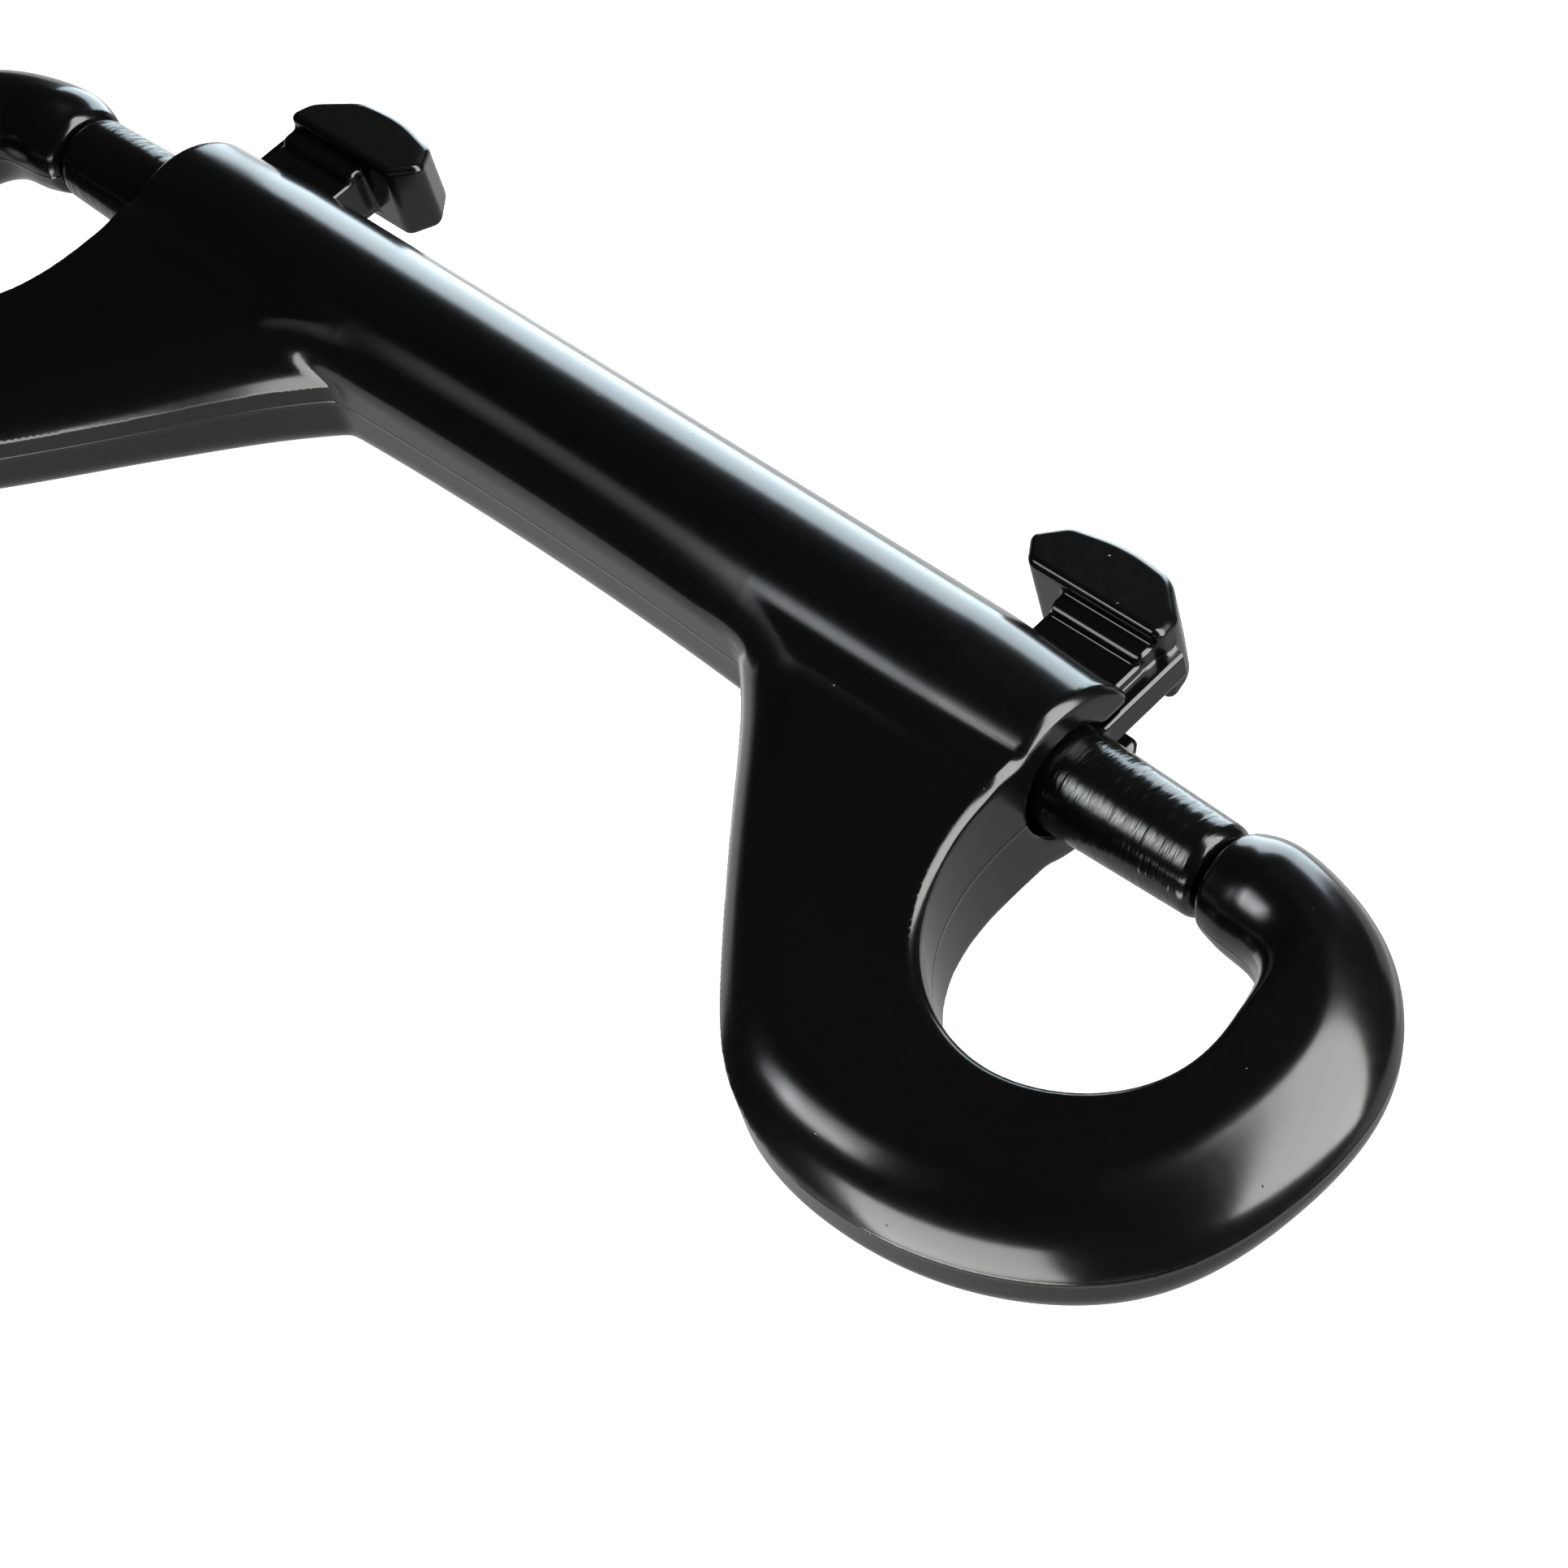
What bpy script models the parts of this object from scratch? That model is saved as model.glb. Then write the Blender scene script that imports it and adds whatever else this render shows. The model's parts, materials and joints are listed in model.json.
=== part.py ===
"""A double-ended bolt snap: a round die-cast barrel with a hook at each end, and two sprung bolts
that close the hooks and are drawn back by thumb triggers.

X runs along the barrel towards the right hook, the hooks hang towards -Y, the triggers stand
towards +Y, and the snap lies flat with +Z up. Shapes are made about the barrel's axis. An empty
then carries them so that the origin is under the middle of the whole snap.
"""

import math

import bmesh
import bpy
import numpy as np
from mathutils import Matrix, Vector

MM = 0.001

# Barrel
BARREL_LENGTH = 70.0 * MM
BARREL_RADIUS = 5.33 * MM
MOUTH_RADIUS = 5.0 * MM  # outer radius where the barrel's end starts to round over
TAPER_LENGTH = 9.0 * MM
MOUTH_ROUNDING = 1.7 * MM
UNDERSIDE_DEPTH = 4.75 * MM  # from the axis down to the flat between the hooks, at its ends
WAIST = 0.35 * MM  # how much shallower the flat lies at the middle
WAIST_NARROWING = 0.6 * MM  # how far the barrel draws in beside the flat there
CENTRE_WALL = 4.0 * MM  # metal left between the two blind bores

# Hooks
EYE_LENGTH = 17.2 * MM  # from the barrel's end to the far side of the eye
EYE_DEPTH = 15.6 * MM  # from the barrel's axis to the bottom of the eye
END_RIM = 7.1 * MM  # width of the hook outside the eye, at its far end
BOTTOM_RIM = 9.15 * MM  # and at its bottom
WEB_LENGTH = 18.85 * MM  # how far the web runs back under the barrel
HOOK_THICKNESS = 6.5 * MM
ROOT_THICKNESS = 9.2 * MM  # of the web beside the eye, where it swells to meet the barrel
OUTER_SWELL = 0.5  # how much of that swelling the web's outer edge shares
OUTER_ROUNDING = 1.8 * MM
EYE_ROUNDING = 1.0 * MM
NOSE_RADIUS = 2.6 * MM  # at the nose's end, which meets the bolt's tip
NOSE_ROUNDING = 3.1 * MM  # of the arm's edges where it swells behind its end
THROAT = 10.0 * MM  # from the barrel's end to the nose, the way in when the bolt is drawn back

# Bolts
BOLT_RADIUS = 2.75 * MM
TIP_RADIUS = 2.5 * MM
TIP_CHAMFER = 0.4 * MM
GUIDED_LENGTH = 16.0 * MM  # length of the bolt inside the barrel at rest
RUNNING_GAP = 0.3 * MM  # around the bolt, its stem and the springs
NOSE_GAP = 0.3 * MM  # between the closed bolt and the nose
OPEN_MARGIN = 0.5 * MM  # the bolt's tip stops this far outside the barrel

# Triggers
STEM_THICKNESS = 2.6 * MM
STEM_REAR = 7.4 * MM  # from the barrel's end back to the rear of the stem
STEM_FRONT = 1.3 * MM
WEB_PLATE_THICKNESS = 1.6 * MM
WEB_PLATE_FRONT = 0.35 * MM
PAD_WIDTH = 5.3 * MM
PAD_TOP = 11.7 * MM  # from the axis
PAD_BOTTOM = 7.7 * MM
PAD_REAR = 11.0 * MM  # from the barrel's end
PAD_FRONT = 0.9 * MM
PAD_EDGE = 0.45 * MM
PAD_TOP_SHARE = 0.72  # width of the pad's top as a share of its full width

# Springs
WIRE_RADIUS = 0.32 * MM
SPRING_TURNS = 9
POINTS_PER_TURN = 10

ROUND_SIDES = 48
BORE_SIDES = 32
ARC_STEPS = 4
SECTIONS_PER_STATION = 3
WAIST_STEPS = 5

FACE_X = BARREL_LENGTH / 2
HOOK_REACH = EYE_LENGTH + END_RIM
HOOK_DEPTH = EYE_DEPTH + BOTTOM_RIM
TRAVEL = THROAT - NOSE_GAP - OPEN_MARGIN
BORE_RADIUS = BOLT_RADIUS + RUNNING_GAP
BORE_END_X = CENTRE_WALL / 2
BOLT_REAR_X = FACE_X - GUIDED_LENGTH
BOLT_TIP_X = FACE_X + THROAT - NOSE_GAP

# The hook's stations, from inside the barrel round the eye to the nose. Each has its inner point,
# as shares of EYE_LENGTH and EYE_DEPTH from the barrel's end and axis, and its outer point, as
# shares of HOOK_REACH (WEB_LENGTH where negative) and HOOK_DEPTH. Next come how far its inner side
# swells towards ROOT_THICKNESS, and how far its outer and inner edges turn from their roundings
# to a full round.
HOOK_STATIONS = (
    (0.000, -0.020, -1.190, 0.029, 0.05, 0.0, 0.0),
    (0.000, 0.150, -0.930, 0.201, 0.90, 0.0, 0.0),
    (0.000, 0.300, -0.620, 0.446, 1.00, 0.0, 0.0),
    (0.000, 0.490, -0.316, 0.702, 0.55, 0.0, 0.0),
    (0.139, 0.800, 0.008, 0.938, 0.10, 0.0, 0.0),
    (0.450, 1.000, 0.276, 1.000, 0.00, 0.0, 0.0),
    (0.700, 0.980, 0.600, 0.944, 0.00, 0.1, 0.0),
    (0.917, 0.813, 0.895, 0.742, 0.00, 0.5, 0.0),
    (1.000, 0.584, 1.000, 0.457, 0.00, 0.9, 0.0),
    (0.950, 0.325, 0.977, 0.176, 0.00, 1.0, 0.3),
    (0.837, 0.186, 0.806, -0.032, 0.00, 1.0, 0.8),
    (0.674, 0.162, 0.477, -0.118, 0.00, 1.0, 1.0),
)

# The pad seen from the side, as shares of its length from the front and of its height from the
# bottom: a rounded front, a crowned top and a raised rear tip.
PAD_OUTLINE = (
    (0.00, 0.00),
    (0.02, 0.38),
    (0.20, 0.83),
    (0.42, 1.00),
    (0.70, 0.94),
    (0.93, 0.66),
    (1.00, 0.40),
    (0.88, 0.02),
    (0.40, -0.02),
)


def clear_scene():
    for item in list(bpy.data.objects):
        bpy.data.objects.remove(item, do_unlink=True)


def material(name, color, roughness, metallic):
    made = bpy.data.materials.new(name)
    made.use_nodes = True
    shader = made.node_tree.nodes["Principled BSDF"]
    shader.inputs["Base Color"].default_value = (*color, 1.0)
    shader.inputs["Roughness"].default_value = roughness
    shader.inputs["Metallic"].default_value = metallic
    return made


def object_from(bm, name, look=None):
    """The bmesh as an object with outward faces, shaded smooth with its sharp edges kept."""
    bmesh.ops.recalc_face_normals(bm, faces=bm.faces[:])
    mesh = bpy.data.meshes.new(name)
    bm.to_mesh(mesh)
    bm.free()
    mesh.shade_smooth()
    mesh.set_sharp_from_angle(angle=math.radians(35))
    made = bpy.data.objects.new(name, mesh)
    bpy.context.scene.collection.objects.link(made)
    if look:
        mesh.materials.append(look)
    return made


def combine(target, tools, operation):
    """Unites the tools with the target, or cuts them from it. The tools stay as hidden guides."""
    for tool in tools:
        modifier = target.modifiers.new(f"{operation.lower()} {tool.name}", "BOOLEAN")
        modifier.object = tool
        modifier.operation = operation
        tool.parent = target
        tool.hide_render = True
        tool.display_type = "WIRE"
    return target


def ring_of(bm, points):
    """A closed loop of edges through the points."""
    verts = [bm.verts.new(point) for point in points]
    pairs = zip(verts, verts[1:] + verts[:1])
    return verts, [bm.edges.new(pair) for pair in pairs]


def lofted(name, rings, look=None):
    """A solid through rings of equally many points, closed by a face at each end."""
    bm = bmesh.new()
    loops = [ring_of(bm, ring) for ring in rings]
    for (_, near), (_, far) in zip(loops, loops[1:]):
        bmesh.ops.bridge_loops(bm, edges=near + far)
    bm.faces.new(loops[0][0])
    bm.faces.new(loops[-1][0])
    return object_from(bm, name, look)


def turned(name, profile, sides, look=None):
    """A solid turned about X, from its (x, radius) profile between two flat ends."""
    angles = [2 * math.pi * side / sides for side in range(sides)]
    rings = [
        [(x, radius * math.cos(angle), radius * math.sin(angle)) for angle in angles]
        for x, radius in profile
    ]
    return lofted(name, rings, look)


def prism(name, outline, along, half_height, middle=0.0):
    """An outline of pairs, drawn square to an axis and extruded both ways along it."""
    rows = {"Y": lambda a, b, h: (a, h, b), "Z": lambda a, b, h: (a, b, h)}
    place = rows[along]
    rings = [
        [place(a, b, middle + side * half_height) for a, b in outline] for side in (-1, 1)
    ]
    return lofted(name, rings)


def arc(centre, radius, start, end, steps):
    """Points on an arc, with angles in degrees."""
    angles = np.radians(np.linspace(start, end, steps + 1))
    return [
        (centre[0] + radius * math.cos(angle), centre[1] + radius * math.sin(angle))
        for angle in angles
    ]


def smooth_rows(rows, knots, at):
    """A natural cubic spline through the rows, read at the given knot values."""
    rows, knots = np.asarray(rows, float), np.asarray(knots, float)
    gaps = np.diff(knots)
    slopes = np.diff(rows, axis=0) / gaps[:, None]
    count = len(knots)
    matrix = np.eye(count)
    sides = np.zeros_like(rows)
    for i in range(1, count - 1):
        matrix[i, i - 1 : i + 2] = gaps[i - 1], 2 * (gaps[i - 1] + gaps[i]), gaps[i]
        sides[i] = 6 * (slopes[i] - slopes[i - 1])
    bends = np.linalg.solve(matrix, sides)
    read = []
    for value in at:
        i = min(max(np.searchsorted(knots, value) - 1, 0), count - 2)
        gap = gaps[i]
        left, right = (knots[i + 1] - value) / gap, (value - knots[i]) / gap
        bend = (left**3 - left) * bends[i] + (right**3 - right) * bends[i + 1]
        read.append(left * rows[i] + right * rows[i + 1] + bend * gap**2 / 6)
    return np.array(read)


def hook_rows():
    """Each station in metres: inner x and y, outer x and y, the half thickness inside and
    outside, and the rounding inside and outside."""
    thin, thick = HOOK_THICKNESS / 2, ROOT_THICKNESS / 2
    rows = []
    for along, down, out_along, out_down, swell, out_round, in_round in HOOK_STATIONS:
        reach = HOOK_REACH if out_along > 0 else WEB_LENGTH
        inner = (FACE_X + along * EYE_LENGTH, -down * EYE_DEPTH)
        outer = (FACE_X + out_along * reach, -out_down * HOOK_DEPTH)
        half_in = thin + swell * (thick - thin)
        half_out = thin + OUTER_SWELL * swell * (thick - thin)
        inside = EYE_ROUNDING + in_round * (NOSE_ROUNDING - EYE_ROUNDING)
        outside = OUTER_ROUNDING + out_round * (thin - OUTER_ROUNDING)
        rows.append((*inner, *outer, half_in, half_out, inside, outside))
    nose_x = FACE_X + THROAT
    nose = (nose_x, -NOSE_RADIUS, nose_x, NOSE_RADIUS)
    rows.append((*nose, NOSE_RADIUS, NOSE_RADIUS, NOSE_RADIUS, NOSE_RADIUS))
    return rows


def hook_section(row):
    """A rounded rectangle from the eye to the outer edge, standing square to the hook's plane."""
    inner, outer = Vector((*row[0:2], 0)), Vector((*row[2:4], 0))
    half_in, half_out, round_in, round_out = row[4:8]
    width = (outer - inner).length
    across = (outer - inner).normalized()
    round_in = min(round_in, half_in, width / 2)
    round_out = min(round_out, half_out, width / 2)
    upper_in = (round_in, half_in - round_in)
    upper_out = (width - round_out, half_out - round_out)
    upper = arc(upper_in, round_in, 180, 90, ARC_STEPS)
    upper += arc(upper_out, round_out, 90, 0, ARC_STEPS)
    lower = [(w, -z) for w, z in reversed(upper)]
    least = 1e-6
    kept = []
    for point in upper + lower:
        kept.append((point[0], math.copysign(max(abs(point[1]), least), point[1])))
    return [inner + across * w + Vector((0, 0, z)) for w, z in kept]


def make_hook(name):
    """The web, the arm round the eye and the nose of the right hook."""
    rows = hook_rows()
    middles = np.array([((r[0] + r[2]) / 2, (r[1] + r[3]) / 2) for r in rows])
    steps = np.sqrt(np.hypot(*np.diff(middles, axis=0).T))
    knots = np.concatenate([[0], np.cumsum(steps)])
    at = np.interp(
        np.arange((len(knots) - 1) * SECTIONS_PER_STATION + 1) / SECTIONS_PER_STATION,
        np.arange(len(knots)),
        knots,
    )
    places = smooth_rows([row[:4] for row in rows], knots, at)
    sizes = [[np.interp(value, knots, size) for size in zip(*rows)][4:] for value in at]
    return lofted(name, [hook_section((*p, *q)) for p, q in zip(places, sizes)])


def barrel_ring(x, radius):
    """The barrel's outline at x: a circle, drawn in at the waist and cut by the flat below."""
    flat_end = FACE_X - WEB_LENGTH
    waist = max(0.0, 1 - (x / flat_end) ** 2)
    flat = UNDERSIDE_DEPTH - WAIST * waist
    points = []
    for side in range(ROUND_SIDES):
        angle = 2 * math.pi * side / ROUND_SIDES
        below = max(0.0, -math.cos(angle))
        reach = radius - WAIST_NARROWING * waist * below**2
        y, z = reach * math.cos(angle), reach * math.sin(angle)
        points.append((x, max(y, -flat), z))
    return points


def make_body(look):
    """One casting: the barrel and both hooks, bored from each end and slotted for the stems."""
    middle = [(FACE_X - WEB_LENGTH) * step / WAIST_STEPS for step in range(WAIST_STEPS + 1)]
    half = [(x, BARREL_RADIUS) for x in middle]
    half.append((FACE_X - TAPER_LENGTH, BARREL_RADIUS))
    half.append((FACE_X - TAPER_LENGTH / 2, (3 * BARREL_RADIUS + MOUTH_RADIUS) / 4))
    half += arc(
        (FACE_X - MOUTH_ROUNDING, MOUTH_RADIUS - MOUTH_ROUNDING), MOUTH_ROUNDING, 90, 0, 5
    )
    profile = [(-x, radius) for x, radius in reversed(half[1:])] + half
    body = lofted("body", [barrel_ring(x, radius) for x, radius in profile], look)

    right = make_hook("right_hook_form")
    left = make_hook("left_hook_form")
    left.rotation_euler = (0, math.pi, 0)
    combine(body, [right, left], "UNION")

    bores, slots = [], []
    for side, turn in (("right", 0), ("left", math.pi)):
        beyond = FACE_X + TIP_CHAMFER
        bore = turned(
            f"{side}_bore_cut",
            [(BORE_END_X, BORE_RADIUS), (beyond, BORE_RADIUS)],
            BORE_SIDES,
        )
        half_slot = STEM_THICKNESS / 2 + RUNNING_GAP
        rear_x = FACE_X - STEM_REAR - TRAVEL
        outline = arc((rear_x, 0), half_slot, 270, 90, 8)
        outline += [(beyond, half_slot), (beyond, -half_slot)]
        slot = prism(
            f"{side}_slot_cut", outline, "Y", BARREL_RADIUS / 2, BARREL_RADIUS * 0.75
        )
        bore.rotation_euler = slot.rotation_euler = (0, turn, 0)
        bores.append(bore)
        slots.append(slot)
    return combine(body, bores + slots, "DIFFERENCE")


def make_pad(name):
    """The thumb pad: its side outline extruded, narrowed towards the top and eased at its edges."""
    height = PAD_TOP - PAD_BOTTOM
    length = PAD_REAR - PAD_FRONT
    outline = [
        (FACE_X - PAD_FRONT - along * length, PAD_BOTTOM + up * height)
        for along, up in PAD_OUTLINE
    ]
    pad = prism(name, outline, "Z", PAD_WIDTH / 2)
    bm = bmesh.new()
    bm.from_mesh(pad.data)
    for vert in bm.verts:
        rise = max(0.0, (vert.co.y - PAD_BOTTOM) / height)
        vert.co.z *= 1 - (1 - PAD_TOP_SHARE) * rise
    rims = [edge for edge in bm.edges if edge.verts[0].co.z * edge.verts[1].co.z > 0]
    bmesh.ops.bevel(bm, geom=rims, offset=PAD_EDGE, segments=2, affect="EDGES")
    bm.to_mesh(pad.data)
    bm.free()
    return pad


def make_bolt(name, look):
    """A round bolt with its thumb trigger, cast as one, closing the right hook."""
    bolt = turned(
        name,
        [
            (BOLT_REAR_X, BOLT_RADIUS - TIP_CHAMFER),
            (BOLT_REAR_X + TIP_CHAMFER, BOLT_RADIUS),
            (FACE_X, BOLT_RADIUS),
            (BOLT_TIP_X - TIP_CHAMFER, TIP_RADIUS),
            (BOLT_TIP_X, TIP_RADIUS - TIP_CHAMFER),
        ],
        BORE_SIDES,
        look,
    )
    inside = PAD_BOTTOM + (PAD_TOP - PAD_BOTTOM) / 4
    root = BOLT_RADIUS / 2
    rear, front = FACE_X - STEM_REAR, FACE_X - STEM_FRONT
    flare = PAD_BOTTOM - BARREL_RADIUS
    stem_outline = [(front, root), (front, inside), (rear - flare / 2, inside)]
    stem_outline += arc((rear - flare, PAD_BOTTOM - flare), flare, 60, 0, 3)
    stem_outline.append((rear, root))
    stem = prism(f"{name}_stem", stem_outline, "Z", STEM_THICKNESS / 2)
    plate_rear, plate_front = FACE_X - STEM_REAR / 2, FACE_X - WEB_PLATE_FRONT
    plate = prism(
        f"{name}_plate",
        [(plate_rear, root), (plate_front, root), (plate_front, inside), (plate_rear, inside)],
        "Z",
        WEB_PLATE_THICKNESS / 2,
    )
    return combine(bolt, [stem, plate, make_pad(f"{name}_pad")], "UNION")


def spring_points():
    """The wire's centre line, from the centre wall to the rear of the bolt."""
    seat = RUNNING_GAP + WIRE_RADIUS
    start, end = BORE_END_X + seat, BOLT_REAR_X - seat
    radius = BORE_RADIUS - RUNNING_GAP - WIRE_RADIUS
    count = SPRING_TURNS * POINTS_PER_TURN
    points = []
    for step in range(count + 1):
        angle = 2 * math.pi * step / POINTS_PER_TURN
        x = start + (end - start) * step / count
        points.append((x, radius * math.cos(angle), radius * math.sin(angle)))
    return points


def least_wire_gap(points):
    """The least clear gap between neighbouring turns, measured on the centre line's points."""
    spots = np.array(points)
    gap = math.inf
    for step in range(len(spots) - POINTS_PER_TURN // 2):
        later = spots[step + POINTS_PER_TURN // 2 :]
        gap = min(gap, np.linalg.norm(later - spots[step], axis=1).min())
    return gap - 2 * WIRE_RADIUS


def make_spring(name, look):
    """A compression spring wound from one wire."""
    points = spring_points()
    print(f"{name}: least gap between turns {least_wire_gap(points) / MM:.2f} mm")
    curve = bpy.data.curves.new(name, "CURVE")
    curve.dimensions = "3D"
    curve.bevel_depth = WIRE_RADIUS
    curve.bevel_resolution = 1
    curve.use_fill_caps = True
    wire = curve.splines.new("POLY")
    wire.points.add(len(points) - 1)
    for point, spot in zip(wire.points, points):
        point.co = (*spot, 1.0)
    curve.materials.append(look)
    made = bpy.data.objects.new(name, curve)
    bpy.context.scene.collection.objects.link(made)
    return made


def world_box(pieces):
    """The lowest and highest corners of the pieces as they are evaluated."""
    bpy.context.view_layer.update()
    graph = bpy.context.evaluated_depsgraph_get()
    corners = []
    for piece in pieces:
        shown = piece.evaluated_get(graph)
        corners += [shown.matrix_world @ vert.co for vert in shown.to_mesh().vertices]
        shown.to_mesh_clear()
    spots = np.array(corners)
    return Vector(spots.min(axis=0)), Vector(spots.max(axis=0))


def main():
    clear_scene()
    enamel = material("black enamel", (0.012, 0.012, 0.013), 0.12, 0.0)
    steel = material("spring steel", (0.55, 0.55, 0.56), 0.3, 1.0)
    body = make_body(enamel)
    half_turn = Matrix.Rotation(math.pi, 4, "Y")
    pieces = [body]
    for side, turn in (("right", Matrix.Identity(4)), ("left", half_turn)):
        for piece in (make_bolt(f"{side}_bolt", enamel), make_spring(f"{side}_spring", steel)):
            piece.matrix_world = turn
            pieces.append(piece)
    low, high = world_box(pieces)
    carrier = bpy.data.objects.new("barrel_axis", None)
    carrier.location = (0, -(low.y + high.y) / 2, -low.z)
    bpy.context.scene.collection.objects.link(carrier)
    for piece in pieces:
        piece.parent = carrier
    bpy.context.view_layer.update()
    print("barrel axis at", [round(value / MM, 3) for value in carrier.location], "mm")


main()
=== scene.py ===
"""A glossy black double-ended bolt snap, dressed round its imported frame.

The casting and the bolts are smooth closed forms. Each is written as a field, a distance that is
negative inside the metal, and a fine mesh is then settled onto the place where it is zero.
Lengths are metres. A form's own x, y and z run along the barrel, from the hooks to the triggers,
and up, from the middle of the barrel's axis.
"""

import json
import math

import bpy
import numpy as np
from mathutils import Matrix, Vector


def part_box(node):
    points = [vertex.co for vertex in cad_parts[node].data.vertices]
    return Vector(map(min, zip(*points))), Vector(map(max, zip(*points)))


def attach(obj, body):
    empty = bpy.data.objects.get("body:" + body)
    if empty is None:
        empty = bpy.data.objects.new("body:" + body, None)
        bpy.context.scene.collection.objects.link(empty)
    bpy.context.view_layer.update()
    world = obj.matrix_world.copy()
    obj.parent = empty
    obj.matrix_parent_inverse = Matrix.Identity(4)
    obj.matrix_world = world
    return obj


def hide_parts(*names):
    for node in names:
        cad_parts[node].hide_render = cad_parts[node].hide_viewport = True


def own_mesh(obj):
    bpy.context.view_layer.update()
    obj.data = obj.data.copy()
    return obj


bl_info = {
    "name": "Double-ended bolt snap",
    "version": (1, 0, 0),
    "blender": (4, 5, 0),
    "location": "3D View > Sidebar > Bolt Snap",
    "description": "Dresses the packed frame of a double-ended bolt snap in glossy enamel",
    "category": "Add Mesh",
}

MM = 0.001

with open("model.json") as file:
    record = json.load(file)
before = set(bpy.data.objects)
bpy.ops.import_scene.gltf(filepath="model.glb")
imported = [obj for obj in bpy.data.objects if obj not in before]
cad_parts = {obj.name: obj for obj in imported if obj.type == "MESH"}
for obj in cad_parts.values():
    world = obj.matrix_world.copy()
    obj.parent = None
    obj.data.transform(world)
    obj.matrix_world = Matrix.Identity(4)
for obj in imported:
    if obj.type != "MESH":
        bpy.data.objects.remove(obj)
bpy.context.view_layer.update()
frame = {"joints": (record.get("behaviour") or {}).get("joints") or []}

BODY_LOW, BODY_HIGH = (np.array(corner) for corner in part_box("body"))
BOLT_LOW, BOLT_HIGH = (np.array(corner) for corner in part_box("right_bolt"))
SPRING_LOW, SPRING_HIGH = (np.array(corner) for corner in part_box("right_spring"))
BARREL_RADIUS = (BODY_HIGH[2] - BODY_LOW[2]) / 2
BOLT_RADIUS = (BOLT_HIGH[2] - BOLT_LOW[2]) / 2
AXIS = np.array([0.0, BOLT_LOW[1] + BOLT_RADIUS, (BODY_LOW[2] + BODY_HIGH[2]) / 2])
BOLT_REAR, BOLT_TIP = BOLT_LOW[0], BOLT_HIGH[0]
PAD_TOP = BOLT_HIGH[1] - AXIS[1]
NOSE_GAP = 0.3 * MM
NOSE_X = BOLT_TIP + NOSE_GAP

# The points of a net are moved onto its surface this many times.
SETTLING_TURNS = 6

# Steps of a spline between each two of its points, and of the arc at each eased corner.
SPLINE_STEPS = 24
CORNER_STEPS = 10

# The hook's outer edge in millimetres along and above the barrel's axis, from inside the barrel
# under the web, round the bottom and the far end, to the top of the nose.
OUTER_POINTS = (
    (11.5, -1.2),
    (14.0, -2.9),
    (16.8, -5.0),
    (19.8, -7.8),
    (23.5, -12.0),
    (29.6, -18.7),
    (35.1, -23.3),
    (41.7, -24.7),
    (49.6, -23.3),
    (56.6, -18.5),
    (59.25, -11.4),
    (58.7, -4.4),
    (54.6, 0.8),
    (49.8, 2.8),
    (46.6, 3.1),
    (45.0, 2.6),
)
OUTER_CLOSING = ((41.0, 2.6), (38.0, -1.0))

# The eye's edge, from the barrel's end round the bottom to the underside of the nose.
EYE_POINTS = (
    (35.0, -3.5),
    (35.2, -7.4),
    (37.4, -12.4),
    (42.3, -15.5),
    (47.0, -15.3),
    (50.8, -12.7),
    (52.2, -9.1),
    (51.3, -5.1),
    (49.3, -3.3),
    (46.8, -3.0),
    (45.0, -2.6),
)
EYE_OPENING = ((35.0, 9.0),)
EYE_CLOSING = ((40.0, -2.6), (40.0, 9.0))

# The hook's section changes over these spans along and above the axis.
ROOT_REACH, ROOT_RISE = (36.0 * MM, 44.0 * MM), (-14.5 * MM, -4.0 * MM)
NOSE_LENGTH, NOSE_REACH, NOSE_RISE = 3.0 * MM, (38.0 * MM, 42.0 * MM), (-9.0 * MM, -6.0 * MM)
MOUTH_REACH, MOUTH_RISE = (37.0 * MM, 40.0 * MM), (-9.0 * MM, -1.0 * MM)
FILLET_RISE, FILLET_DEPTH = (-4.0 * MM, -1.0 * MM), (1.5 * MM, 3.5 * MM)

# It also changes over these spans in degrees round the hook's middle, from straight down: on the
# way to the nose, and on the way back to the web.
HOOK_MIDDLE = (43.8 * MM, -8.0 * MM)
UPPER_TURN, LOWER_TURN, EYE_TURN = (70.0, 130.0), (10.0, 95.0), (95.0, 140.0)
RIM_TURN, SLOPE_TURN = (0.0, 40.0), (45.0, 80.0)
SWELL_SHARE = 0.5

# Ends of the cuts in the casting: the barrel, the throat that the bolt closes, and the bore.
BARREL_END = 39.0 * MM
THROAT_START, THROAT_BOTTOM = 36.5 * MM, -6.0 * MM
BORE_FRONT = 38.0 * MM

# How far a form runs on inside the one that it joins.
OVERLAP = 1.0 * MM

# The rectangle and grid step of the hook's chart, and the step and margin of the pad's.
HOOK_CHART = (8 * MM, -28 * MM), (63 * MM, 10 * MM), 0.2 * MM
PAD_CHART_STEP, PAD_CHART_MARGIN = 0.15 * MM, 2.0 * MM

# Roundings and fillets of the bolt, its stem and its ledge.
REAR_EDGE = 0.4 * MM
STEM_EDGE = 0.15 * MM
LEDGE_CORNER, LEDGE_EDGE, LEDGE_FILLET = 0.2 * MM, 0.6 * MM, 0.3 * MM
PIN_FILLET = 0.5 * MM

# Sides of the spring's wire, and its rings in each turn.
RING_SIDES, TURN_STEPS = 12, 40

CASTING_STEP, CASTING_QUICK_STEP = 0.3 * MM, 0.5 * MM
BOLT_STEP, BOLT_QUICK_STEP = 0.16 * MM, 0.35 * MM

# The thumb pad's side, in millimetres along and above the axis, with each corner's radius.
PAD_CORNERS = (
    (34.1, 7.7, 0.5),
    (33.9, 9.4, 1.5),
    (31.6, 11.4, 2.5),
    (28.4, 11.75, 9.0),
    (25.2, 11.0, 1.2),
    (23.9, 9.3, 0.6),
    (25.2, 7.7, 0.8),
)


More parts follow.
